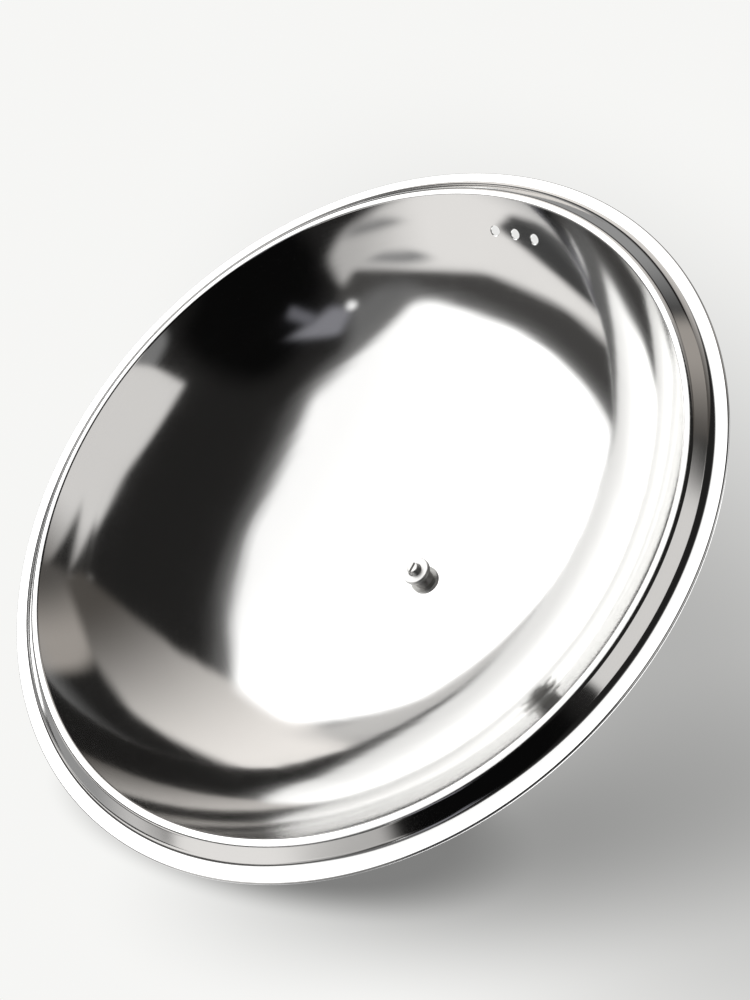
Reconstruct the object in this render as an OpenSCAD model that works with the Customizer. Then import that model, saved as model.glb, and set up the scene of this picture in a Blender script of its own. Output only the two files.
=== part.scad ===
// Domed pot lid in polished sheet steel, with a knob held by a stud and a collar nut.
// Millimetres, +Z up. The lid stands on its locating ridge, whose crest is at Z = 0.
// The steam vents are at -X.

/* [Lid] */
// Outside diameter over the rolled edge
lid_d = 370; // [340:5:400]
// Sheet thickness
sheet_t = 0.8; // [0.6:0.1:1.0]
// Inside height from the flange's underside to the top of the dome
dome_h = 72.5; // [66:0.5:80]
// Slope where the dome's middle meets its tighter shoulder, in degrees
shoulder_slope = 32; // [30:1:34]
// Slope of the bowl where it meets the ridge, in degrees
bowl_slope = 58; // [55:1:60]
// Radius of the flat seat for the knob
seat_r = 11; // [10:0.5:12]

/* [Rim] */
// Height of the flange's underside above the ridge's crest
ridge_h = 7.6; // [7:0.1:8.2]
// Distance from the lid's edge to the middle of the ridge
ridge_inset = 15.8; // [15.8:0.1:18]
// Width of the narrow flat land on the ridge's crest
crest_land = 1; // [0.6:0.1:1.2]
// Bend radius of the crest, on the pot side
crest_r = 2; // [1.6:0.1:2.4]
// Slope of the ridge's outer wall, in degrees
wall_slope = 45; // [44:1:50]
// Bend radius between the wall and the flange, on the pot side
flange_r = 5; // [4:0.5:5]
// Thickness of the rolled edge
hem_t = 2; // [1.8:0.1:2.2]
// Width of the rolled edge
hem_w = 4; // [3:0.2:4]

/* [Steam vents] */
// Diameter of a vent
vent_d = 5; // [4:0.5:6]
// Distance between vents, along their row
vent_pitch = 12; // [10:0.5:14]
// Number of vents
vent_count = 3; // [1:1:5]
// Distance of the vents from the lid's axis
vent_axis_r = 157; // [154:0.5:158]

/* [Fastening] */
// Outside diameter of the stud's thread
stud_d = 6; // [5.8:0.1:6]
// How far the stud stands out of the collar nut
stud_proud = 2.8; // [2:0.1:4]
// Screwdriver slot width
slot_w = 1.2; // [1:0.1:1.4]
// Screwdriver slot depth
slot_depth = 1.4; // [1:0.1:1.8]
// Diameter of the nut's collar
collar_d = 14.2; // [13:0.1:16]
// Thickness of the nut's collar
collar_h = 2.5; // [2:0.1:3]
// Diameter of the nut's neck
neck_d = 9.6; // [9:0.1:11]
// Length of the nut's neck
neck_h = 3.6; // [3:0.1:5]
// Thickness of the seal washer
seal_t = 1; // [0.8:0.1:1.5]
// Thickness of the spring washer
spring_t = 1.4; // [1.2:0.1:1.6]

/* [Knob] */
// Radius of the knob's waist
waist_r = 14; // [13.5:0.5:15]
// Radius of the curve under the knob's head
under_r = 18; // [17:0.5:19]
// Height of the waist above the knob's foot
waist_h = 8; // [7.5:0.5:9]
// Radius of the knob's rounded edge
edge_r = 4; // [3.5:0.5:4.5]
// Radius of the knob's gently domed top
crown_r = 125; // [110:5:140]
// Diameter of the steel disc in the knob's top
cap_d = 26; // [22:1:28]

/* [Hidden] */
$fn = 120;
play = 0.05;          // radial gap between a thread's crest and the bore around it
arc_steps = 16;       // chords in a long bend
bend_steps = 8;       // chords in a short bend

// Heights from the ridge's crest upwards
roof_z = ridge_h + dome_h;             // pot side of the seat
seat_z = roof_z + sheet_t;             // outer face of the seat
cup_z = seat_z + seal_t;
cup_t = 0.8;
foot_z = cup_z + cup_t;                // the knob's foot
collar_z = roof_z - neck_h - collar_h;
stud_z = collar_z - stud_proud;

// Point at an angle from straight up, round a centre
function spot(c, r, a) = c + r * [sin(a), cos(a)];
function bend(c, r, from, to, steps) =
    [for (i = [0:steps]) spot(c, r, from + (to - from) * i / steps)];

// Ridge: two crest bends with a land between them
ridge_r = lid_d / 2 - ridge_inset;
crest_in = [ridge_r - crest_land / 2, crest_r];
crest_out = [ridge_r + crest_land / 2, crest_r];

// Dome: the middle and shoulder radii that join the seat to the ridge without a crease
bowl_end = spot(crest_in, -crest_r, bowl_slope);
span = bowl_end.x - seat_r;
drop = roof_z - bowl_end.y;
mid_x = sin(shoulder_slope);
mid_y = 1 - cos(shoulder_slope);
end_x = sin(bowl_slope) - sin(shoulder_slope);
end_y = cos(shoulder_slope) - cos(bowl_slope);
solve = mid_x * end_y - end_x * mid_y;
mid_r = (span * end_y - end_x * drop) / solve;
shoulder_r = (mid_x * drop - mid_y * span) / solve;
mid_c = [seat_r, roof_z - mid_r];
shoulder_c = spot(mid_c, mid_r - shoulder_r, shoulder_slope);

// Flange: the bend that ends the ridge's outer wall
wall_rise = ridge_h - (flange_r + crest_r) * (1 - cos(wall_slope));
flange_c = [crest_out.x + (crest_r + flange_r) * sin(wall_slope) + wall_rise / tan(wall_slope),
            ridge_h - flange_r];
hem_c = [lid_d / 2 - hem_t / 2, ridge_h + hem_t / 2];

// One face of the sheet, from the seat to the flange; off is its distance from the pot side
function sheet_face(off) = concat(
    bend(mid_c, mid_r + off, 0, shoulder_slope, arc_steps),
    bend(shoulder_c, shoulder_r + off, shoulder_slope, bowl_slope, arc_steps),
    bend(crest_in, off - crest_r, bowl_slope, 0, bend_steps),
    bend(crest_out, off - crest_r, 0, -wall_slope, bend_steps),
    bend(flange_c, flange_r + off, -wall_slope, 0, bend_steps));

// Rolled edge, from the flange's underside round to the end of the fold
hem_path = concat(
    [for (i = [0:bend_steps]) spot(hem_c, hem_t / 2, 180 - 180 * i / bend_steps)],
    [[lid_d / 2 - hem_w, ridge_h + hem_t], [lid_d / 2 - hem_w, ridge_h + sheet_t]]);

function backwards(path) = [for (i = [len(path) - 1:-1:0]) path[i]];

stud_hole_r = stud_d / 2 + 0.2;
thread_r = stud_d / 2 + play;
vent_a = asin((vent_axis_r - shoulder_c.x) / shoulder_r);
vent_at = spot(shoulder_c, shoulder_r, vent_a);
vent_step = vent_pitch / vent_axis_r * 180 / PI;

// Knob outline, from its foot up to its crown
foot_r = 13.5;
head_a = 60;          // slope at the end of the curve under the head
edge_a = 80;          // where the rounded edge meets the crown
under_c = [waist_r + under_r, waist_h];
under_end = under_c + under_r * [-cos(head_a), sin(head_a)];
edge_c = under_end + edge_r * [-cos(head_a), sin(head_a)];
crown_from = edge_c + edge_r * [cos(edge_a), sin(edge_a)];
crown_a = asin(crown_from.x / crown_r);
crown_c = [0, crown_from.y - crown_r * cos(crown_a)];
foot_a = asin((waist_h - 1) / under_r);
knob_path = concat(
    [[0, 0], [foot_r, 0]],
    [for (i = [0:arc_steps]) let (a = -foot_a + (head_a + foot_a) * i / arc_steps)
        under_c + under_r * [-cos(a), sin(a)]],
    [for (i = [1:bend_steps]) let (a = -head_a + (edge_a + head_a) * i / bend_steps)
        edge_c + edge_r * [cos(a), sin(a)]],
    [for (i = [1:bend_steps]) spot(crown_c, crown_r, crown_a * (1 - i / bend_steps))]);
cap_z = crown_from.y - 0.4;
cap_rise = 0.3;       // how far the disc stands above the knob's crown

insert_r = 5.5;
insert_h = 14;
insert_wall = 1.2;    // closed end of the insert
groove_r = 4.8;
groove_h = 2.5;
spring_r = 5.4;

module ring(r_out, r_in, h) {
    difference() {
        cylinder(r = r_out, h = h);
        translate([0, 0, -1]) cylinder(r = r_in, h = h + 2);
    }
}

// Pressed sheet: seat, dome, ridge, flange and rolled edge, with its vents and stud hole
module lid_shell() {
    color("gainsboro")
    difference() {
        rotate_extrude()
            polygon(concat(
                [[stud_hole_r, roof_z]], sheet_face(0), hem_path,
                backwards(sheet_face(sheet_t)), [[stud_hole_r, seat_z]]));
        for (i = [0:vent_count - 1])
            rotate([0, 0, 180 + (i - (vent_count - 1) / 2) * vent_step])
                translate([vent_at.x, 0, vent_at.y])
                    rotate([0, vent_a, 0])
                        cylinder(d = vent_d, h = 10 * sheet_t, center = true);
    }
}

// Round nut: wide collar at its free end, narrower neck against the dome
module collar_nut() {
    chamfer = 0.4;
    collar_r = collar_d / 2;
    color("silver")
    translate([0, 0, collar_z])
        rotate_extrude()
            polygon([
                [thread_r + chamfer, 0], [collar_r - chamfer, 0], [collar_r, chamfer],
                [collar_r, collar_h - chamfer], [collar_r - chamfer, collar_h],
                [neck_d / 2, collar_h], [neck_d / 2, collar_h + neck_h],
                [thread_r, collar_h + neck_h], [thread_r, chamfer]]);
}

// Threaded stud with a screwdriver slot in its lower end
module knob_stud() {
    stud_top = foot_z + spring_t + insert_h - insert_wall;
    bevel = 0.5;
    color("darkgray")
    difference() {
        translate([0, 0, stud_z])
            rotate_extrude()
                polygon([
                    [0, 0], [stud_d / 2 - bevel, 0], [stud_d / 2, bevel],
                    [stud_d / 2, stud_top - stud_z], [0, stud_top - stud_z]]);
        translate([-stud_d, -slot_w / 2, stud_z - 1])
            cube([2 * stud_d, slot_w, slot_depth + 1]);
    }
}

module seal_washer() {
    color("dimgray")
    translate([0, 0, seat_z])
        ring(seat_r - 1, stud_hole_r, seal_t);
}

// Dished cup under the knob, with a rolled lip
module knob_cup() {
    floor_r = 14;
    dish_r = 10;
    dish_a = 50;
    lip_r = 0.7;
    dish_c = [floor_r, dish_r];
    // the lower face's arc, then the upper face's arc inside it
    function dish(r, from, to) = [for (i = [0:bend_steps])
        dish_c + r * [sin(from + (to - from) * i / bend_steps),
                      -cos(from + (to - from) * i / bend_steps)]];
    color("silver")
    translate([0, 0, cup_z])
        rotate_extrude()
            union() {
                polygon(concat(
                    [[stud_hole_r, 0]], dish(dish_r, 0, dish_a),
                    dish(dish_r - cup_t, dish_a, 0), [[stud_hole_r, cup_t]]));
                translate(dish_c + (dish_r - cup_t / 2) * [sin(dish_a), -cos(dish_a)])
                    circle(r = lip_r);
            }
}

// Split ring; the saw cut is at +Y
module spring_washer() {
    split = 1;
    color("darkgray")
    translate([0, 0, foot_z])
        difference() {
            ring(spring_r, thread_r + play, spring_t);
            translate([-split / 2, 0, -1]) cube([split, 2 * spring_r, spring_t + 2]);
        }
}

// Outside of the threaded insert, with the groove that locks it into the moulding
module insert_form() {
    translate([0, 0, foot_z + spring_t])
        rotate_extrude()
            polygon([
                [0, 0], [insert_r, 0], [insert_r, (insert_h - groove_h) / 2],
                [groove_r, (insert_h - groove_h) / 2], [groove_r, (insert_h + groove_h) / 2],
                [insert_r, (insert_h + groove_h) / 2], [insert_r, insert_h], [0, insert_h]]);
}

module knob_insert() {
    color("goldenrod")
    difference() {
        insert_form();
        translate([0, 0, foot_z])
            cylinder(r = thread_r, h = spring_t + insert_h - insert_wall);
    }
}

module knob_body() {
    washer_room = 0.5;
    color([0.08, 0.08, 0.08])
    difference() {
        translate([0, 0, foot_z]) rotate_extrude() polygon(knob_path);
        insert_form();
        translate([0, 0, foot_z - 1])
            cylinder(r = spring_r + washer_room, h = spring_t + 1);
        translate([0, 0, foot_z + cap_z])
            cylinder(d = cap_d + 2 * play, h = crown_r);
    }
}

// Disc whose top follows the knob's crown
module knob_cap() {
    top_r = crown_r + cap_rise;
    color("gainsboro")
    translate([0, 0, foot_z])
        rotate_extrude()
            polygon(concat(
                [[0, cap_z], [cap_d / 2, cap_z]],
                bend(crown_c, top_r, asin(cap_d / 2 / top_r), 0, bend_steps)));
}

lid_shell();
collar_nut();
knob_stud();
seal_washer();
knob_cup();
spring_washer();
knob_insert();
knob_body();
knob_cap();
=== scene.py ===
"""Looks of a domed pot lid in mirror-polished steel. Metres in Blender; outlines are in millimetres.

+Z is up. The lid stands on its locating ridge, whose crest is at Z = 0, with its knob on top.
The camera looks up into the hollow from below, the way the lid is seen when it lies upside down.
"""

import math

import bpy
import numpy as np
from mathutils import Matrix, Vector


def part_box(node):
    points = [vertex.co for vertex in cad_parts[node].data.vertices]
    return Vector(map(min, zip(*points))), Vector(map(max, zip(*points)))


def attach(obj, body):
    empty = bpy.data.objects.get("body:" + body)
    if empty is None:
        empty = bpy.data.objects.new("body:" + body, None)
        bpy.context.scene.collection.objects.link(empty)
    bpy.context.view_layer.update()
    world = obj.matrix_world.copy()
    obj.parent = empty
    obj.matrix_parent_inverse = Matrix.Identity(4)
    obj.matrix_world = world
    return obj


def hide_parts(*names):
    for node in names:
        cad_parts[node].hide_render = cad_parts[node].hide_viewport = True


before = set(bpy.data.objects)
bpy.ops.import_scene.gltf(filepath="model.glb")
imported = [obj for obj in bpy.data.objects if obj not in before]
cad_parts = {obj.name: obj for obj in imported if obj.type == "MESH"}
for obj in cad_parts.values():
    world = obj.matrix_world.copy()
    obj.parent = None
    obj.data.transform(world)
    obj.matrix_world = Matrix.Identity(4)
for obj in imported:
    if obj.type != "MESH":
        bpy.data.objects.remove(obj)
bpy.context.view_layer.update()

MM = 0.001


def top_of(node):
    """Height of a CAD node's highest point, in millimetres."""
    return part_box(node)[1].z / MM


def foot_of(node):
    """Height of a CAD node's lowest point, in millimetres."""
    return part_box(node)[0].z / MM


def radius_of(node):
    """Outer radius of a round CAD node, in millimetres."""
    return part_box(node)[1].x / MM


# ---------------------------------------------------------------------------------------------
# Camera
# ---------------------------------------------------------------------------------------------
LENS_MM = 85
SENSOR_MM = 36
CAMERA_AZIMUTH = -68.72      # degrees round the lid's axis
CAMERA_OFF_AXIS = 42.32      # degrees between the line of sight and the lid's axis
CAMERA_ROLL = -135.79        # degrees the picture is turned
CAMERA_DISTANCE = 1.0792     # metres from the point that it looks at
CAMERA_AIM = Vector((-0.00545, -0.01274, 0.0076))


def make_camera():
    azimuth, off, roll = map(math.radians, (CAMERA_AZIMUTH, CAMERA_OFF_AXIS, CAMERA_ROLL))
    back = Vector((math.sin(off) * math.cos(azimuth), math.sin(off) * math.sin(azimuth), -math.cos(off)))
    level_up = (Vector((0, 0, 1)) - back * back.z).normalized()
    level_right = level_up.cross(back)
    up = level_up * math.cos(roll) + level_right * math.sin(roll)
    right = up.cross(back)
    data = bpy.data.cameras.new("camera")
    data.lens = LENS_MM
    data.sensor_width = SENSOR_MM
    data.clip_start = 0.05
    data.clip_end = 50
    camera = bpy.data.objects.new("camera", data)
    turned = Matrix((right, up, back)).transposed().to_4x4()
    camera.matrix_world = Matrix.Translation(CAMERA_AIM + back * CAMERA_DISTANCE) @ turned
    bpy.context.scene.collection.objects.link(camera)
    bpy.context.scene.camera = camera


make_camera()


# ---------------------------------------------------------------------------------------------
# Outlines: closed runs of lines and arcs in (radius, height), with the solid on their left
# ---------------------------------------------------------------------------------------------
def sin_of(degrees):
    return math.sin(math.radians(degrees))


def cos_of(degrees):
    return math.cos(math.radians(degrees))


def spot(centre, radius, angle):
    """The point at an angle in degrees from straight up, round a centre."""
    a = math.radians(angle)
    return Vector((centre[0] + radius * math.sin(a), centre[1] + radius * math.cos(a)))


class Line:
    def __init__(self, start, end):
        self.start, self.end = Vector(start), Vector(end)
        along = (self.end - self.start).normalized()
        self.outward = Vector((along.y, -along.x))

    def stations(self):
        return [self.start]

    def normals(self, r, z):
        return np.full_like(r, self.outward.x), np.full_like(z, self.outward.y)

    def gaps(self, r, z):
        """How far each point is from this stretch."""
        span = self.end - self.start
        share = ((r - self.start.x) * span.x + (z - self.start.y) * span.y) / span.length_squared
        share = np.clip(share, 0, 1)
        return np.hypot(r - self.start.x - share * span.x, z - self.start.y - share * span.y)


class Arc:
    def __init__(self, centre, radius, start, end, steps):
        self.centre, self.radius, self.steps = Vector(centre), radius, steps
        self.from_angle, self.to_angle = start, end
        self.side = -1 if end > start else 1
        self.start, self.end = spot(centre, radius, start), spot(centre, radius, end)

    def stations(self):
        turn = (self.to_angle - self.from_angle) / self.steps
        return [spot(self.centre, self.radius, self.from_angle + turn * i) for i in range(self.steps)]

    def normals(self, r, z):
        dr, dz = r - self.centre.x, z - self.centre.y
        reach = np.maximum(np.hypot(dr, dz), 1e-9)
        return self.side * dr / reach, self.side * dz / reach

    def gaps(self, r, z):
        dr, dz = r - self.centre.x, z - self.centre.y
        middle = (self.from_angle + self.to_angle) / 2
        half = abs(self.to_angle - self.from_angle) / 2
        turned = (np.degrees(np.arctan2(dr, dz)) - middle + 180) % 360 - 180
        past = np.radians(np.maximum(np.abs(turned) - half, 0)) * self.radius
        return np.hypot(np.hypot(dr, dz) - self.radius, past)


def rounded(corners, steps=5):
    """A closed outline through (radius, height, bend radius) corners, listed anticlockwise."""
    bends = []
    for i, (r, z, bend) in enumerate(corners):
        here = Vector((r, z))
        into = (here - Vector(corners[i - 1][:2])).normalized()
        away = (Vector(corners[(i + 1) % len(corners)][:2]) - here).normalized()
        turn = math.atan2(into.x * away.y - into.y * away.x, into.dot(away))
        if bend == 0 or abs(turn) < 1e-6:
            bends.append((here, here, None))
            continue
        back_off = bend * math.tan(abs(turn) / 2)
        enter, leave = here - into * back_off, here + away * back_off
        inward = Vector((-into.y, into.x)) * math.copysign(1, turn)
        centre = enter + inward * bend
        first = math.degrees(math.atan2(enter.x - centre.x, enter.y - centre.y))
        bends.append((enter, leave, Arc(centre, bend, first, first - math.degrees(turn), steps)))
    outline = []
    for i, (_, leave, arc) in enumerate(bends):
        if arc:
            outline.append(arc)
        enter = bends[(i + 1) % len(bends)][0]
        if (enter - leave).length > 1e-6:
            outline.append(Line(leave, enter))
    return outline


def on_axis(stretch):
    return max(stretch.start.x, stretch.end.x) < 1e-6


def new_piece(name, vertices, faces):
    mesh = bpy.data.meshes.new(name)
    mesh.from_pydata([Vector(v) * MM for v in vertices], [], faces)
    mesh.validate()
    piece = bpy.data.objects.new(name, mesh)
    bpy.context.scene.collection.objects.link(piece)
    return piece


def lathe(name, outline, steps):
    """Turns an outline about Z. A stretch that lies on the axis is left out."""
    rows = [(p, not on_axis(s)) for s in outline for p in s.stations()]
    vertices, faces, rings = [], [], []
    for point, _ in rows:
        at_axis = point.x < 1e-6
        count = 1 if at_axis else steps
        rings.append([len(vertices) + (0 if at_axis else j) for j in range(steps)])
        for j in range(count):
            a = math.tau * j / steps
            vertices.append((point.x * math.cos(a), point.x * math.sin(a), point.y))
    for i, (_, shown) in enumerate(rows):
        if not shown:
            continue
        ring, after = rings[i], rings[(i + 1) % len(rings)]
        for j in range(steps):
            k = (j + 1) % steps
            corners = [ring[j], ring[k], after[k], after[j]]
            faces.append(list(dict.fromkeys(corners)))
    return new_piece(name, vertices, faces)


def shade(piece, outline, reach=0.03):
    """Gives a turned piece its outline's true normals, so that reflections run without facets."""
    mesh = piece.data
    count = len(mesh.loops)
    at = np.zeros(count, np.int32)
    mesh.loops.foreach_get("vertex_index", at)
    places = np.zeros(len(mesh.vertices) * 3, np.float32)
    mesh.vertices.foreach_get("co", places)
    corner = places.reshape(-1, 3)[at].astype(float) / MM
    sizes = np.zeros(len(mesh.polygons), np.int32)
    mesh.polygons.foreach_get("loop_total", sizes)
    flats = np.zeros(len(mesh.polygons) * 3, np.float32)
    mesh.polygons.foreach_get("normal", flats)
    flat = np.repeat(flats.reshape(-1, 3), sizes, axis=0).astype(float)
    r = np.hypot(corner[:, 0], corner[:, 1])
    out_x = corner[:, 0] / np.maximum(r, 1e-6)
    out_y = corner[:, 1] / np.maximum(r, 1e-6)
    best = flat.copy()
    score = np.full(count, 0.9)
    for stretch in outline:
        if on_axis(stretch):
            continue
        n_r, n_z = stretch.normals(r, corner[:, 2])
        normal = np.stack((n_r * out_x, n_r * out_y, n_z), axis=1)
        agrees = (normal * flat).sum(axis=1)
        better = (stretch.gaps(r, corner[:, 2]) < reach) & (agrees > score)
        best[better] = normal[better]
        score[better] = agrees[better]
    mesh.polygons.foreach_set("use_smooth", [True] * len(mesh.polygons))
    mesh.normals_split_custom_set(best.tolist())


def cut(piece, cutter):
    """Takes the cutter out of the piece, and removes the cutter."""
    tool = piece.modifiers.new("cut", "BOOLEAN")
    tool.operation = "DIFFERENCE"
    tool.solver = "EXACT"
    tool.object = cutter
    graph = bpy.context.evaluated_depsgraph_get()
    finished = bpy.data.meshes.new_from_object(piece.evaluated_get(graph))
    piece.modifiers.clear()
    piece.data = finished
    finished.name = piece.name
    bpy.data.objects.remove(cutter)


def smooth_by_angle(piece, degrees):
    piece.data.polygons.foreach_set("use_smooth", [True] * len(piece.data.polygons))
    piece.data.set_sharp_from_angle(angle=math.radians(degrees))


# ---------------------------------------------------------------------------------------------
# Shader trees
# ---------------------------------------------------------------------------------------------
class Graph:
    """A shader tree. Each call adds a node and returns one of its outputs."""

    def __init__(self, tree):
        self.tree = tree
        tree.nodes.clear()

    def add(self, kind, inputs=None, out=0, **settings):
        node = self.tree.nodes.new("ShaderNode" + kind)
        for name, value in settings.items():
            setattr(node, name, value)
        for place, value in (inputs or {}).items():
            if isinstance(value, bpy.types.NodeSocket):
                self.tree.links.new(value, node.inputs[place])
            else:
                node.inputs[place].default_value = value
        return node.outputs[out] if node.outputs else node

    def math(self, operation, a, b=0.0):
        return self.add("Math", {0: a, 1: b}, operation=operation)

    def vector(self, operation, a, b=(0, 0, 0), out=0):
        return self.add("VectorMath", {0: a, 1: b}, out, operation=operation)

    def split(self, vector):
        node = self.add("SeparateXYZ", {0: vector}).node
        return node.outputs[0], node.outputs[1], node.outputs[2]

    def join(self, x, y, z):
        return self.add("CombineXYZ", {0: x, 1: y, 2: z})

    def scaled(self, vector, amount):
        return self.add("VectorMath", {0: vector, "Scale": amount}, operation="SCALE")

    def span(self, value, low, high, to_low=0.0, to_high=1.0):
        """Eases from to_low to to_high as value goes from low to high."""
        places = {0: value, 1: low, 2: high, 3: to_low, 4: to_high}
        return self.add("MapRange", places, interpolation_type="SMOOTHSTEP")

    def blend(self, share, a, b):
        return self.add("Mix", {0: share, 6: a, 7: b}, 2, data_type="RGBA")

    def noise(self, vector, scale, detail=2.0, rough=0.5, dimensions="3D"):
        places = {"Scale": scale, "Detail": detail, "Roughness": rough}
        places["W" if dimensions == "1D" else "Vector"] = vector
        return self.add("TexNoise", places, noise_dimensions=dimensions)


def linear(shown):
    """Linear light for a brightness from 0 to 1 on the screen."""
    return shown / 12.92 if shown < 0.04 else ((shown + 0.055) / 1.055) ** 2.4


# ---------------------------------------------------------------------------------------------
# Studio: light panels placed by direction, in a procedural world
# ---------------------------------------------------------------------------------------------
STEEL = (0.80, 0.797, 0.79)   # how much the polished sheet reflects
LAMP_LIGHT = 2.5              # light of the big white lamp, against 1 for plain white
SOFTBOX_LIGHT = 2.4           # light of the softbox over the knob
STRIP_LIGHT = 1.6             # light of the strip beside it
GLINT_LIGHT = 1.2             # light of the small round glint in the dark side of the room
FLOOR_TONE = 0.93             # how bright the floor looks, so that the air over its edge matches


def seen(shown, warm=0.0):
    """Light that looks this bright, from 0 to 1, when the polished sheet reflects it once."""
    level = linear(shown) / STEEL[1]
    return (level * (1 + warm), level, level * (1 - warm), 1)


def paper(shown):
    """Slightly warm white that looks this bright, from 0 to 1, when the camera sees it directly."""
    level = linear(shown)
    return (level, level, level * 0.985, 1)


def plain(level, blue=1.0):
    """White light of a given level. A blue under 1 warms it, and over 1 cools it."""
    return (level, level, level * blue, 1)


class Panels:
    """Soft-edged convex panels laid over each other on a flat map of directions, in degrees."""

    def __init__(self, graph, place, colour):
        self.graph, self.place, self.colour = graph, place, colour

    def mask(self, corners, soft, grow=0.0):
        area = sum(p[0] * q[1] - q[0] * p[1] for p, q in zip(corners, corners[1:] + corners[:1]))
        ordered = corners if area > 0 else corners[::-1]
        share = None
        for p, q in zip(ordered, ordered[1:] + ordered[:1]):
            length = math.hypot(q[0] - p[0], q[1] - p[1])
            inward = ((p[1] - q[1]) / length, (q[0] - p[0]) / length, 0)
            edge = inward[0] * p[0] + inward[1] * p[1] - grow
            depth = self.graph.vector("DOT_PRODUCT", self.place, inward, "Value")
            inside = self.graph.span(depth, edge - soft / 2, edge + soft / 2)
            share = inside if share is None else self.graph.math("MULTIPLY", share, inside)
        return share

    def lay(self, corners, soft, colour, grow=0.0):
        self.colour = self.graph.blend(self.mask(corners, soft, grow), self.colour, colour)

    def oval(self, centre, size, turn, soft, colour):
        """An ellipse of the given half-widths, turned anticlockwise; soft is a share of its size."""
        a = math.radians(turn)
        away = self.graph.vector("SUBTRACT", self.place, (*centre, 0))
        across = (math.cos(a) / size[0], math.sin(a) / size[0], 0)
        along = (-math.sin(a) / size[1], math.cos(a) / size[1], 0)
        u = self.graph.vector("DOT_PRODUCT", away, across, "Value")
        v = self.graph.vector("DOT_PRODUCT", away, along, "Value")
        reach = self.graph.vector("LENGTH", self.graph.join(u, v, 0), out="Value")
        share = self.graph.span(reach, 1 + soft, 1 - soft)
        self.colour = self.graph.blend(share, self.colour, colour)


# Corners of the big lamp, in degrees east and north of straight down
LAMP = [(-49, 40), (-49, 22), (-35, 5), (-18, -5), (15, -9), (44, 10), (45, 16), (35, 45), (20, 67),
        (10, 77), (-10, 75), (-35, 60)]


def lower_studio(graph, place, north, east):
    """What the hollow reflects: the panels, cards and dark room that the lid faces."""
    low = Panels(graph, place, seen(0.12, 0.03))
    # the grey card at the south, and the dark room in front of it
    card = graph.blend(graph.span(east, -68, -42), seen(0.45, 0.05), seen(0.80, 0.02))
    low.lay([(-2, -60), (18, -61), (26, -70), (0, -84), (-40, -76), (-40, -60)], 5, seen(0.45))
    low.lay([(-66, -30), (7.5, -30), (8.5, -61), (4, -72), (-20, -74), (-50, -64), (-68, -46)], 3, card)
    low.lay([(-49, 10), (-56, -33), (-46, -41), (-24, -48), (12, -49), (40, -40), (44, 10)],
            3, seen(0.12, 0.03))
    # two dark wedges where the card meets the wall
    low.lay([(-42, -51), (-69, -39), (-63, -33)], 2.5, seen(0.14, 0.04))
    low.lay([(-42, -44), (-61, -35), (-58, -29)], 2, seen(0.17, 0.04))
    # the pale panels at the east, with a dark strip between them
    panel = graph.blend(graph.span(north, -14, 18), seen(0.68, 0.02), seen(0.87, 0.02))
    low.lay([(47, -12), (56, -19), (66, -15), (76, 0), (84, 30), (82, 55), (66, 74), (40, 84), (16, 82)],
            5, panel)
    low.lay([(34, 77), (65, 42), (67, 50), (62, 61), (50, 74)], 3, seen(0.24))
    low.lay([(57, -6), (60, -2), (61, 10), (58, 16), (56, 8)], 4, seen(0.52))
    low.lay([(64, -14), (69, -10), (72, 2), (70, 8), (68, 2)], 5, seen(0.46))
    # the darkest side of the room
    low.lay([(14, -26), (24, -18), (55, -17), (68, -30), (62, -45), (45, -60), (20, -60), (14, -50)],
            12, seen(0.03))
    # the half-dark room round the lamp, and the lamp's glow on it
    low.lay([(10, 80), (26, 80), (40, 62), (53, 34), (55, 12), (54, -10), (44, -14), (20, 40)],
            4, seen(0.25, 0.03))
    low.lay(LAMP, 16, seen(0.21, 0.02), grow=5)
    low.lay([(26, -4), (40, -9), (49, -3), (51, 10), (44, 16)], 8, seen(0.40))
    low.lay(LAMP, 9, seen(0.45, 0.01), grow=3.5)
    low.lay(LAMP, 4, seen(0.66, 0.005), grow=1.2)
    # grey glints in it
    low.lay([(33, -9), (41, -8), (42, -14), (30, -24), (31, -16)], 4, plain(0.26, 1.1))
    low.lay([(35, -19), (38, -18), (40, -27), (36, -27)], 3, plain(0.16, 1.125))
    low.oval((42.5, -8.5), (1.5, 1.5), 0, 0.6, plain(GLINT_LIGHT))
    # the pale wall at the west, which fades towards the south, with a dark gap outside it
    wall = graph.blend(graph.span(north, -25, 52), seen(0.28, 0.10), seen(0.91, 0.04))
    outside = graph.blend(graph.span(north, -38, -14), seen(0.30, 0.07), seen(0.58, 0.08))
    low.lay([(-92, -2), (-88, -20), (-72, -46), (-62, -40), (-60, -30), (-66, -14), (-74, -4)], 8, outside)
    low.lay([(-47, 60), (-62, 56), (-74, 16), (-72, -8), (-63, -34), (-57, -34), (-49, 10), (-47, 30)],
            4, wall)
    low.lay([(-50, 44), (-16, 74), (-8, 84), (-40, 80), (-47, 64)], 6, seen(0.74, 0.02))
    # the lamp, brighter towards its north end
    warmth = 0.997
    lamp = graph.blend(graph.span(north, 0, 60), plain(LAMP_LIGHT / 2, warmth), plain(LAMP_LIGHT, warmth))
    low.lay(LAMP, 4, lamp)
    return low.colour


def upper_studio(graph, place, height):
    """What the dome and the knob reflect: a pale room with a softbox overhead and a strip light."""
    room = graph.blend(graph.span(height, 0, 60), seen(0.56), seen(0.50))
    high = Panels(graph, place, room)
    high.lay([(-50, 26), (50, 20), (44, 60), (-44, 60)], 16, seen(0.97))
    high.lay([(-38, -26), (24, -36), (34, 6), (-28, 18)], 9, plain(SOFTBOX_LIGHT))
    high.lay([(-78, -40), (-52, -68), (-40, -60), (-64, -32)], 8, plain(STRIP_LIGHT))
    high.lay([(52, -60), (78, -30), (64, -20), (44, -48)], 10, seen(0.14))
    return high.colour


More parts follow.
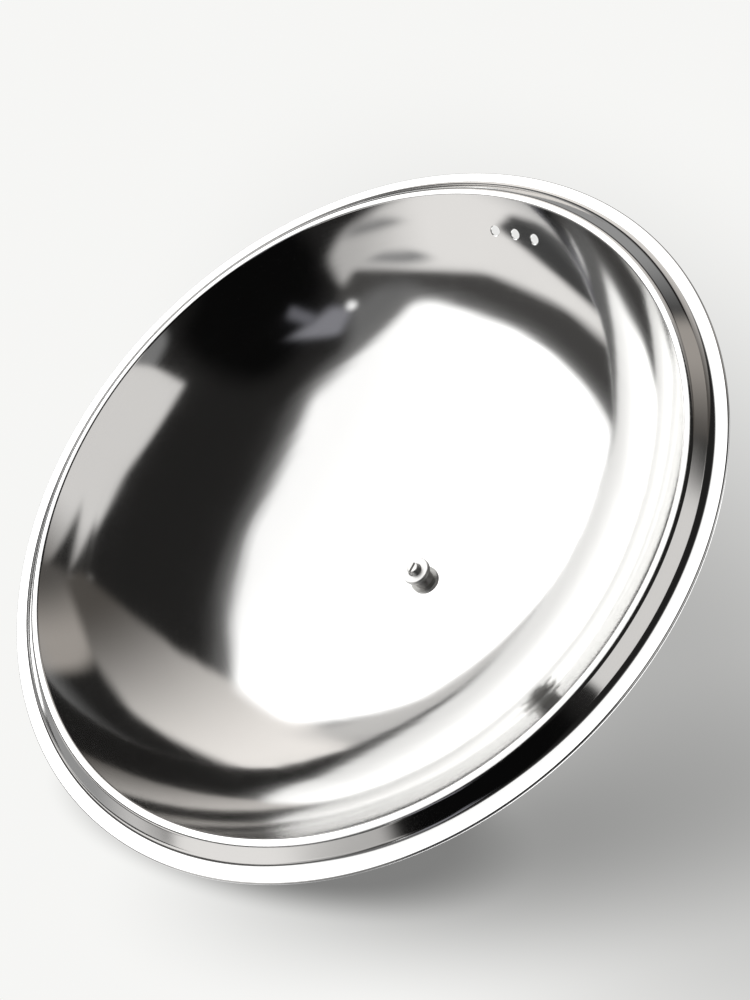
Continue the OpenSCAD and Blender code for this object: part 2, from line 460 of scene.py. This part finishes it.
def compass(graph, direction, pole):
    """Flat map of a direction in degrees east and north of straight up (pole 1) or down (pole -1)."""
    x, y, z = graph.split(direction)
    flat = graph.join(x, y, 0.0)
    level = graph.math("MAXIMUM", graph.vector("LENGTH", flat, out="Value"), 1e-5)
    angle = graph.math("ARCTAN2", level, graph.math("MULTIPLY", z, pole))
    away = graph.math("MULTIPLY", angle, 180 / math.pi)
    return graph.scaled(flat, graph.math("DIVIDE", away, level)), away


def studio_light(graph, direction):
    """The light that reaches the lid and its knob from each direction."""
    below, down = compass(graph, direction, -1)
    above, _ = compass(graph, direction, 1)
    east, north, _ = graph.split(below)
    low = lower_studio(graph, below, north, east)
    high = upper_studio(graph, above, graph.math("SUBTRACT", down, 90.0))
    return graph.blend(graph.span(down, 82, 96), low, high)


def backdrop(graph, direction):
    """What the camera sees behind the lid: a pale sheet with the lid's soft shadow painted on it as ovals.
    """
    above, away = compass(graph, direction, 1)
    sheet = Panels(graph, above, paper(0.965))
    # painted shadow of the lid: the wide soft part, the closer one beside it, and the darkest part where
    # the lid leans
    sheet.oval((-14.5, 31), (9, 6), -60, 0.95, paper(0.70))
    sheet.oval((-9.5, 32.5), (6, 2), 50, 0.95, paper(0.60))
    sheet.oval((-7, 38), (2, 5), -20, 0.25, paper(0.50))
    return graph.blend(graph.span(away, 60, 86), sheet.colour, paper(FLOOR_TONE))


def make_studio():
    world = bpy.data.worlds.new("studio")
    world.use_nodes = True
    bpy.context.scene.world = world
    graph = Graph(world.node_tree)
    direction = graph.add("TexCoord", out="Generated")
    is_camera = graph.add("LightPath", out="Is Camera Ray")
    shown = graph.blend(is_camera, studio_light(graph, direction), backdrop(graph, direction))
    background = graph.add("Background", {"Color": shown, "Strength": 1.0})
    graph.add("OutputWorld", {0: background})


make_studio()
view = bpy.context.scene.view_settings
view.view_transform = "Standard"


# ---------------------------------------------------------------------------------------------
# Materials
# ---------------------------------------------------------------------------------------------
def new_material(name):
    material = bpy.data.materials.new(name)
    material.use_nodes = True
    return material, Graph(material.node_tree)


def finish_material(graph, inputs):
    shader = graph.add("BsdfPrincipled", inputs)
    graph.add("OutputMaterial", {0: shader})


def radius_socket(graph, place):
    x, y, _ = graph.split(place)
    return graph.vector("LENGTH", graph.join(x, y, 0.0), out="Value")


def turned_marks(graph, place, pitch_mm):
    """Fine concentric marks: noise that changes only with the distance from Z and the height."""
    _, _, z = graph.split(place)
    along = graph.math("ADD", radius_socket(graph, place), z)
    return graph.noise(graph.math("MULTIPLY", along, 1 / (pitch_mm * MM)), 1.0, 3.0, 0.6, "1D")


def metal(name, colour, smooth, rough, marks_mm, marks_depth_mm, anisotropic=0.0, wear=0.0):
    """Machined or polished metal: uneven polish, turning marks and scuffs."""
    material, graph = new_material(name)
    place = graph.add("TexCoord", out="Object")
    marks = turned_marks(graph, place, marks_mm)
    cloud = graph.noise(place, 14.0, 4.0, 0.6)
    streaks = graph.noise(place, 160.0, 5.0, 0.65)
    polish = graph.math("ADD", graph.math("MULTIPLY", cloud, 0.55), graph.math("MULTIPLY", marks, 0.45))
    roughness = graph.span(polish, 0.36, 0.64, smooth, rough)
    if wear:
        scuffed = graph.math("MULTIPLY", graph.span(streaks, 0.55, 0.75), wear)
        roughness = graph.math("ADD", roughness, scuffed)
    tint = graph.blend(graph.span(streaks, 0.35, 0.7), (*colour, 1), (*[c * 0.97 for c in colour], 1))
    bump = graph.add("Bump", {"Height": marks, "Strength": 1.0, "Distance": marks_depth_mm * MM})
    inputs = {
        "Base Color": tint,
        "Metallic": 1.0,
        "Roughness": roughness,
        "Normal": bump,
        "Anisotropic": anisotropic,
    }
    if anisotropic:
        inputs["Tangent"] = graph.add("Tangent", direction_type="RADIAL", axis="Z")
    finish_material(graph, inputs)
    return material


WAVE_MM = 0.06          # height of the polished sheet's slight waves
BUFFING_MM = 0.00002    # height of its buffing marks


def polished_sheet():
    """Mirror-polished stainless sheet: slight waves along the spinning, buffing marks, a rubbed crest."""
    material, graph = new_material("polished_sheet")
    place = graph.add("TexCoord", out="Object")
    x, y, z = graph.split(place)
    radius = radius_socket(graph, place)
    buffing = turned_marks(graph, place, 0.35)
    cloud = graph.noise(place, 9.0, 5.0, 0.62)
    smear = graph.noise(graph.vector("MULTIPLY", place, (1.0, 2.4, 1.0)), 38.0, 4.0, 0.7)
    scuff = graph.noise(place, 900.0, 3.0, 0.7)
    on_crest = graph.span(z, 0.0012, 0.0002)
    rubbed = graph.math("MULTIPLY", on_crest, graph.span(scuff, 0.45, 0.62, 0.0, 0.10))
    patchy = graph.math("ADD", cloud, graph.math("MULTIPLY", smear, 0.4))
    haze = graph.span(patchy, 0.55, 0.95, 0.065, 0.095)
    fine = graph.span(buffing, 0.3, 0.8, 0.0, 0.012)
    roughness = graph.math("ADD", graph.math("ADD", haze, rubbed), fine)
    tint = graph.blend(graph.span(cloud, 0.3, 0.7), (*STEEL, 1), (*[c * 0.985 for c in STEEL], 1))
    # waves a few centimetres wide, drawn out round the axis as the spinning leaves them
    around = graph.math("MAXIMUM", radius, 0.02)
    ring = graph.join(graph.math("DIVIDE", x, around), graph.math("DIVIDE", y, around),
                      graph.math("MULTIPLY", radius, 45.0))
    swell = graph.noise(ring, 1.3, 2.0, 0.5)
    waves = graph.add("Bump", {"Height": swell, "Strength": 1.0, "Distance": WAVE_MM * MM})
    marks = {"Height": buffing, "Strength": 1.0, "Distance": BUFFING_MM * MM, "Normal": waves}
    bump = graph.add("Bump", marks)
    finish_material(graph, {
        "Base Color": tint,
        "Metallic": 1.0,
        "Roughness": roughness,
        "Normal": bump,
    })
    return material


def moulded_black():
    """Black phenolic: satin gloss, fine orange peel and a mould line."""
    material, graph = new_material("knob_moulding")
    place = graph.add("TexCoord", out="Object")
    peel = graph.noise(place, 900.0, 2.0, 0.5)
    cloud = graph.noise(place, 60.0, 4.0, 0.6)
    flow = graph.noise(graph.vector("MULTIPLY", place, (1.0, 1.0, 4.0)), 240.0, 4.0, 0.65)
    _, y, _ = graph.split(place)
    seam = graph.span(graph.math("ABSOLUTE", y), 0.0002, 0.00005)
    height = graph.math("ADD", graph.math("MULTIPLY", peel, 0.12), seam)
    bump = graph.add("Bump", {"Height": height, "Strength": 0.6, "Distance": 0.00004})
    colour = graph.blend(graph.span(flow, 0.35, 0.75), (0.011, 0.011, 0.012, 1), (0.021, 0.020, 0.019, 1))
    finish_material(graph, {
        "Base Color": colour,
        "Roughness": graph.span(cloud, 0.3, 0.7, 0.22, 0.34),
        "Normal": bump,
        "Specular IOR Level": 0.55,
    })
    return material


def rubber():
    """Dark silicone: matt, with a fine moulded grain and a little dust."""
    material, graph = new_material("washer_rubber")
    place = graph.add("TexCoord", out="Object")
    grain = graph.noise(place, 2600.0, 3.0, 0.6)
    dust = graph.noise(place, 420.0, 5.0, 0.7)
    bump = graph.add("Bump", {"Height": grain, "Strength": 0.5, "Distance": 0.00004})
    colour = graph.blend(graph.span(dust, 0.5, 0.8), (0.035, 0.035, 0.036, 1), (0.075, 0.074, 0.071, 1))
    finish_material(graph, {
        "Base Color": colour,
        "Roughness": graph.span(dust, 0.3, 0.7, 0.62, 0.8),
        "Normal": bump,
    })
    return material


# ---------------------------------------------------------------------------------------------
# Lid shell
# ---------------------------------------------------------------------------------------------
LID_R = radius_of("lid_shell")
SEAT_TOP = top_of("lid_shell")
SHEET = 0.8
ROOF = SEAT_TOP - SHEET
SHOULDER_SLOPE = 32
BOWL_SLOPE = 58
SEAT_R = 11
RIDGE_H = 7.6
RIDGE_R = LID_R - 15.8
CREST_LAND = 1
CREST_BEND = 2
WALL_SLOPE = 45
ROUND_CREST_BEND = 4.4    # the sheet's real bends are rounder than the CAD's, inside the same corners
FLANGE_BEND = 7.5
HEM_T = 2
HEM_W = 4
VENT_R = 2.5
VENT_PITCH = 12
VENT_AXIS_R = 157
BORE_R = 3.2
LID_STEPS = 384


class LidShape:
    """Bends of the pressed sheet. A bend's radius is given on the pot side."""

    def __init__(self):
        self.crest_in = (RIDGE_R - CREST_LAND / 2, CREST_BEND)
        half_turn = math.tan(math.radians(WALL_SLOPE / 2))
        wall_foot = RIDGE_R + CREST_LAND / 2 + CREST_BEND * half_turn
        wall_top = wall_foot + RIDGE_H / math.tan(math.radians(WALL_SLOPE))
        self.crest_out = (wall_foot - ROUND_CREST_BEND * half_turn, ROUND_CREST_BEND)
        end = spot(self.crest_in, -CREST_BEND, BOWL_SLOPE)
        span, drop = end.x - SEAT_R, ROOF - end.y
        # the two radii that carry the bowl from the seat's edge down to the ridge
        mid_x, mid_y = sin_of(SHOULDER_SLOPE), 1 - cos_of(SHOULDER_SLOPE)
        end_x, end_y = sin_of(BOWL_SLOPE) - mid_x, cos_of(SHOULDER_SLOPE) - cos_of(BOWL_SLOPE)
        solve = mid_x * end_y - end_x * mid_y
        self.mid_r = (span * end_y - end_x * drop) / solve
        self.shoulder_r = (mid_x * drop - mid_y * span) / solve
        self.mid = Vector((SEAT_R, ROOF - self.mid_r))
        self.shoulder = spot(self.mid, self.mid_r - self.shoulder_r, SHOULDER_SLOPE)
        self.flange = (wall_top + FLANGE_BEND * half_turn, RIDGE_H - FLANGE_BEND)
        self.hem = (LID_R - HEM_T / 2, RIDGE_H + HEM_T / 2)

    def face(self, off):
        """Arcs of one face of the sheet, from the seat out to the flange."""
        return [
            Arc(self.mid, self.mid_r + off, 0, SHOULDER_SLOPE, 44),
            Arc(self.shoulder, self.shoulder_r + off, SHOULDER_SLOPE, BOWL_SLOPE, 32),
            Arc(self.crest_in, CREST_BEND - off, BOWL_SLOPE + 180, 180, 14),
            Arc(self.crest_out, ROUND_CREST_BEND - off, 180, 180 - WALL_SLOPE, 18),
            Arc(self.flange, FLANGE_BEND + off, -WALL_SLOPE, 0, 18),
        ]

    def outline(self):
        """The whole section: pot side out to the fold, round it, and back on the outer side."""
        fold_gap = HEM_T - 2 * SHEET
        inner = LID_R - HEM_W
        lip = 0.25
        top = RIDGE_H + HEM_T
        pot_side = self.face(0)
        back = reversed(self.face(SHEET))
        outer = [Arc(a.centre, a.radius, a.to_angle, a.from_angle, a.steps) for a in back]
        fold = [
            Arc(self.hem, HEM_T / 2, 180, 0, 20),
            Line((self.hem[0], top), (inner + lip, top)),
            Arc((inner + lip, top - lip), lip, 0, -90, 5),
            Arc((inner + lip, top - SHEET + lip), lip, -90, -180, 5),
            Line((inner + lip, top - SHEET), (self.hem[0], top - SHEET)),
            Arc(self.hem, fold_gap / 2, 0, 180, 8),
        ]
        run = joined([Line((BORE_R, ROOF), (SEAT_R, ROOF)), *pot_side, *fold, *outer,
                      Line((SEAT_R, SEAT_TOP), (BORE_R, SEAT_TOP))])
        return [*run, Line((BORE_R, SEAT_TOP), (BORE_R, ROOF))]


def joined(stretches):
    """Adds the straight stretches between the given ones."""
    run = []
    for stretch in stretches:
        if run and (stretch.start - run[-1].end).length > 1e-4:
            run.append(Line(run[-1].end, stretch.start))
        run.append(stretch)
    return run


def vent_cutter(shape):
    """One drill with a countersink on both faces for each vent."""
    slope = math.degrees(math.asin((VENT_AXIS_R - shape.shoulder.x) / shape.shoulder_r))
    at = spot(shape.shoulder, shape.shoulder_r, slope)
    step = math.degrees(VENT_PITCH / VENT_AXIS_R)
    burr = 0.25
    reach = 4.0
    drill = rounded([
        (0, -reach, 0), (VENT_R + reach, -reach, 0), (VENT_R, burr, 0),
        (VENT_R, SHEET - burr, 0), (VENT_R + reach, SHEET + reach, 0), (0, SHEET + reach, 0)])
    cutters = []
    for i in (-1, 0, 1):
        cutter = lathe("vent_drill", drill, 48)
        turned = Matrix.Rotation(math.pi + math.radians(i * step), 4, "Z")
        placed = Matrix.Translation(Vector((at.x, 0, at.y)) * MM)
        cutter.data.transform(turned @ placed @ Matrix.Rotation(math.radians(slope), 4, "Y"))
        cutters.append(cutter)
    return cutters


def make_lid():
    shape = LidShape()
    outline = shape.outline()
    lid = lathe("lid_sheet", outline, LID_STEPS)
    for cutter in vent_cutter(shape):
        cut(lid, cutter)
    shade(lid, outline)
    lid.data.materials.append(polished_sheet())
    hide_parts("lid_shell")
    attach(lid, "root")


make_lid()


# ---------------------------------------------------------------------------------------------
# Fastening
# ---------------------------------------------------------------------------------------------
THREAD_PITCH = 1.0
THREAD_DEPTH = 0.55
STUD_R = radius_of("knob_stud")
SLOT_W = 1.2
SLOT_DEPTH = 1.4
PLAY = 0.05             # gap between a thread's crest and the bore round it
COLLAR_H = 2.5
GROOVE_H = 1.5          # height of the collar's groove above its free face
GROOVE_HALF = 0.3
GROOVE_DEPTH = 0.25


def turned_piece(name, outline, steps, material, *nodes, slot):
    piece = lathe(name, outline, steps)
    shade(piece, outline)
    piece.data.materials.append(material)
    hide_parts(*nodes)
    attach(piece, "root")
    return piece


def make_nut():
    foot, top = foot_of("collar_nut"), top_of("collar_nut")
    collar_r, neck_r = radius_of("collar_nut"), 4.8
    collar_top = foot + COLLAR_H
    bore = STUD_R + PLAY
    groove = foot + GROOVE_H
    outline = rounded([
        (bore + 0.5, foot, 0.12), (collar_r, foot, 0.55), (collar_r, groove - GROOVE_HALF, 0.05),
        (collar_r - GROOVE_DEPTH, groove, 0.05), (collar_r, groove + GROOVE_HALF, 0.05),
        (collar_r, collar_top, 0.3),
        (neck_r, collar_top, 0.25), (neck_r, top, 0.1), (bore, top, 0), (bore, foot + 0.5, 0.08)])
    steel = metal("turned_steel", (0.60, 0.595, 0.585), 0.34, 0.44, 0.10, 0.002, wear=0.05)
    turned_piece("collar_nut_turned", outline, 128, steel, "collar_nut", slot="turned_steel")


def make_stud():
    """Threaded stud: a ridged rod whose ridge climbs one pitch a turn, chamfered and slotted below."""
    foot, top = foot_of("knob_stud"), top_of("knob_stud")
    around, rows_a_pitch = 72, 12
    bevel = 0.5
    rows = round((top - foot) / THREAD_PITCH * rows_a_pitch)
    vertices, faces = [], []
    for i in range(rows + 1):
        z = foot + (top - foot) * i / rows
        for j in range(around):
            a = math.tau * j / around
            turn = ((z - foot) / THREAD_PITCH - j / around) % 1
            wave = abs(2 * turn - 1)
            depth = THREAD_DEPTH * min(1, max(0, wave * 1.35 - 0.15))
            end = min(z - foot, top - z)
            r = min(STUD_R - depth, STUD_R - bevel + end)
            vertices.append((r * math.cos(a), r * math.sin(a), z))
    for i in range(rows):
        for j in range(around):
            k = (j + 1) % around
            faces.append((i * around + j, i * around + k, (i + 1) * around + k, (i + 1) * around + j))
    faces.append(tuple(reversed(range(around))))
    faces.append(tuple(rows * around + j for j in range(around)))
    stud = new_piece("knob_stud_threaded", vertices, faces)
    half, long, low, high = SLOT_W / 2, 2 * STUD_R, foot - 1, foot + SLOT_DEPTH
    plan = [(-long, -half), (long, -half), (long, half), (-long, half)]
    corners = [(x, y, z) for z in (low, high) for x, y in plan]
    sides = [(3, 2, 1, 0), (4, 5, 6, 7), (0, 1, 5, 4), (1, 2, 6, 5), (2, 3, 7, 6), (3, 0, 4, 7)]
    cut(stud, new_piece("slot_saw", corners, sides))
    smooth_by_angle(stud, 28)
    steel = metal("threaded_steel", (0.52, 0.515, 0.505), 0.24, 0.34, 0.06, 0.002, wear=0.08)
    stud.data.materials.append(steel)
    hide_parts("knob_stud")
    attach(stud, "root")


make_nut()
make_stud()


# ---------------------------------------------------------------------------------------------
# Knob
# ---------------------------------------------------------------------------------------------
def make_seal():
    foot, top, reach = foot_of("seal_washer"), top_of("seal_washer"), radius_of("seal_washer")
    outline = rounded([(BORE_R, foot, 0.2), (reach, foot, 0.35), (reach, top, 0.35), (BORE_R, top, 0.2)])
    turned_piece("seal_washer_moulded", outline, 96, rubber(), "seal_washer", slot="washer_rubber")


def make_cup():
    foot, reach = foot_of("knob_cup"), radius_of("knob_cup")
    floor_r, dish_r, dish_a, wall, lip_r = 14, 10, 50, 0.8, 0.7
    dish = (floor_r, foot + dish_r)
    middle = spot(dish, dish_r - wall / 2, 180 - dish_a)
    lip = (reach - lip_r, middle.y)
    outer = Arc(dish, dish_r, 180, 180 - dish_a, 14)
    inner = Arc(dish, dish_r - wall, 180 - dish_a, 180, 14)
    outline = joined([
        Line((BORE_R, foot), (floor_r, foot)), outer,
        Arc(lip, lip_r, 180 - dish_a + 35, -dish_a - 35, 16),
        inner, Line((floor_r, foot + wall), (BORE_R, foot + wall))])
    outline.append(Line((BORE_R, foot + wall), (BORE_R, foot)))
    steel = metal("cup_steel", (0.79, 0.785, 0.775), 0.035, 0.09, 0.25, 0.0004, wear=0.03)
    turned_piece("knob_cup_pressed", outline, 160, steel, "knob_cup", slot="cup_steel")


KNOB_FOOT = foot_of("knob_body")
CROWN_R = 125


class KnobShape:
    """Bends of the knob's outline, from its foot up to its crown."""

    def __init__(self):
        waist_r, under_r, waist_h, edge_r = 14, 18, 8, 4
        head_a, edge_a = math.radians(60), math.radians(80)
        self.foot_r = 13.5
        self.under_r, self.edge_r = under_r, edge_r
        self.under = Vector((waist_r + under_r, KNOB_FOOT + waist_h))
        out = Vector((-math.cos(head_a), math.sin(head_a)))
        self.edge = self.under + out * (under_r + edge_r)
        crown_from = self.edge + edge_r * Vector((math.cos(edge_a), math.sin(edge_a)))
        self.crown_a = math.degrees(math.asin(crown_from.x / CROWN_R))
        self.crown = Vector((0, crown_from.y - CROWN_R * math.cos(math.radians(self.crown_a))))
        self.foot_a = math.degrees(math.asin((waist_h - 1) / under_r))
        self.cap_z = crown_from.y - 0.4


def make_knob():
    knob = KnobShape()
    spring_t, insert_h, insert_r = 1.4, 14, 5.5
    washer_r = 5.9
    cap_r = radius_of("knob_cap") + PLAY
    brim = 0.2
    pocket = KNOB_FOOT + spring_t
    crown_edge = math.degrees(math.asin((cap_r + brim) / CROWN_R))
    rim = spot(knob.crown, CROWN_R, crown_edge)
    outline = joined([
        Line((washer_r, KNOB_FOOT), (knob.foot_r, KNOB_FOOT)),
        Arc(knob.under, knob.under_r, -90 - knob.foot_a, -30, 48),
        Arc(knob.edge, knob.edge_r, 150, 10, 28),
        Arc(knob.crown, CROWN_R, knob.crown_a, crown_edge, 8),
        Arc((cap_r + brim, rim.y - brim), brim, crown_edge, -90, 6),
        Line((cap_r, rim.y - brim), (cap_r, knob.cap_z)),
        Line((cap_r, knob.cap_z), (0, knob.cap_z)),
        Line((0, knob.cap_z), (0, pocket + insert_h)),
        Line((0, pocket + insert_h), (insert_r, pocket + insert_h)),
        Line((insert_r, pocket + insert_h), (insert_r, pocket)),
        Line((insert_r, pocket), (washer_r, pocket)),
        Line((washer_r, pocket), (washer_r, KNOB_FOOT))])
    turned_piece("knob_moulding", outline, 160, moulded_black(), "knob_body", slot="knob_moulding")
    return knob


def make_cap(knob):
    foot, reach = foot_of("knob_cap"), radius_of("knob_cap")
    top_r = CROWN_R + 0.3
    bevel = 0.25
    edge_a = math.degrees(math.asin((reach - bevel) / top_r))
    rim = spot(knob.crown, top_r, edge_a)
    dimple_r, dimple_z = 0.9, 0.22
    centre = spot(knob.crown, top_r, math.degrees(math.asin(dimple_r / top_r)))
    outline = joined([
        Line((0, foot), (reach - bevel, foot)),
        Arc((reach - bevel, foot + bevel), bevel, 180, 90, 5),
        Arc((reach - bevel, rim.y - bevel), bevel, 90, edge_a, 6),
        Arc(knob.crown, top_r, edge_a, math.degrees(math.asin(dimple_r / top_r)), 14),
        Line(centre, (0, centre.y - dimple_z))])
    outline.append(Line((0, centre.y - dimple_z), (0, foot)))
    steel = metal("cap_steel", (0.76, 0.755, 0.745), 0.15, 0.26, 0.07, 0.004, anisotropic=0.55, wear=0.04)
    turned_piece("knob_cap_brushed", outline, 160, steel, "knob_cap", slot="cap_steel")


def make_spring_washer():
    """Split ring with its two ends sprung a little apart in height."""
    foot, top, reach = foot_of("spring_washer"), top_of("spring_washer"), radius_of("spring_washer")
    inner, thick, split = STUD_R + 0.1, 1.05, 0.5
    around, bend = 90, 0.15
    ring = rounded([(inner, 0, bend), (reach, 0, bend), (reach, thick, bend), (inner, thick, bend)], 3)
    section = [point for stretch in ring for point in stretch.stations()]
    first, last = math.pi / 2 + split / reach, math.pi * 2.5 - split / reach
    climb = (top - foot) - thick
    vertices, faces = [], []
    for i in range(around + 1):
        a = first + (last - first) * i / around
        for point in section:
            z = foot + point.y + climb * i / around
            vertices.append((point.x * math.cos(a), point.x * math.sin(a), z))
    count = len(section)
    for i in range(around):
        for j in range(count):
            k = (j + 1) % count
            faces.append((i * count + j, (i + 1) * count + j, (i + 1) * count + k, i * count + k))
    faces.append(tuple(range(count)))
    faces.append(tuple(reversed(range(around * count, (around + 1) * count))))
    washer = new_piece("spring_washer_split", vertices, faces)
    smooth_by_angle(washer, 32)
    steel = metal("spring_steel", (0.45, 0.44, 0.43), 0.28, 0.42, 0.08, 0.004, wear=0.08)
    washer.data.materials.append(steel)
    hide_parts("spring_washer")
    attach(washer, "root")


def make_insert():
    """Brass insert with straight knurling above and below its locking groove."""
    foot, top, reach = foot_of("knob_insert"), top_of("knob_insert"), radius_of("knob_insert")
    bore, wall, groove_r, groove_h = STUD_R + PLAY, 1.2, 4.8, 2.5
    middle = (foot + top) / 2
    bevel, teeth, tooth = 0.3, 36, 0.22
    outline = rounded([
        (0, top - wall, 0), (bore, top - wall, 0), (bore, foot + bevel, 0), (bore + bevel, foot, 0),
        (reach - bevel, foot, 0), (reach, foot + bevel, 0), (reach, middle - groove_h / 2, 0.1),
        (groove_r, middle - groove_h / 2, 0.2), (groove_r, middle + groove_h / 2, 0.2),
        (reach, middle + groove_h / 2, 0.1), (reach, top - bevel, 0), (reach - bevel, top, 0), (0, top, 0)])
    insert = lathe("knob_insert_knurled", outline, teeth * 4)
    for vertex in insert.data.vertices:
        r = math.hypot(vertex.co.x, vertex.co.y) / MM
        if r > reach - bevel / 2:
            wave = 0.5 - 0.5 * math.cos(teeth * math.atan2(vertex.co.y, vertex.co.x))
            vertex.co.xy *= (r - tooth * wave) / r
    smooth_by_angle(insert, 30)
    brass = metal("insert_brass", (0.74, 0.55, 0.26), 0.18, 0.34, 0.09, 0.003, wear=0.06)
    insert.data.materials.append(brass)
    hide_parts("knob_insert")
    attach(insert, "root")


make_seal()
make_cup()
make_cap(make_knob())
make_spring_washer()
make_insert()


# ---------------------------------------------------------------------------------------------
# Stage
# ---------------------------------------------------------------------------------------------
FLOOR_COLOUR = (0.88, 0.88, 0.87)
FLOOR_HALF = 6000      # half of the floor's width


def floor_paper():
    """Matt pale paper that shows only from above, so that the camera sees the lid through it."""
    material, graph = new_material("floor_paper")
    place = graph.add("TexCoord", out="Object")
    grain = graph.noise(place, 700.0, 3.0, 0.6)
    darker = [c * 0.985 for c in FLOOR_COLOUR]
    colour = graph.blend(graph.span(grain, 0.3, 0.7), (*FLOOR_COLOUR, 1), (*darker, 1))
    matt = graph.add("BsdfDiffuse", {"Color": colour, "Roughness": 0.0})
    clear = graph.add("BsdfTransparent")
    behind = graph.add("NewGeometry", out="Backfacing")
    shown = graph.add("MixShader", {0: behind, 1: matt, 2: clear})
    graph.add("OutputMaterial", {0: shown})
    return material


def make_floor():
    half = FLOOR_HALF
    corners = [(-half, -half, 0), (half, -half, 0), (half, half, 0), (-half, half, 0)]
    floor = new_piece("floor", corners, [(0, 1, 2, 3)])
    floor.data.materials.append(floor_paper())
    floor.visible_glossy = False
    floor.visible_shadow = False
    floor.visible_diffuse = False


make_floor()

bpy.context.scene.cycles.glossy_bounces = 8
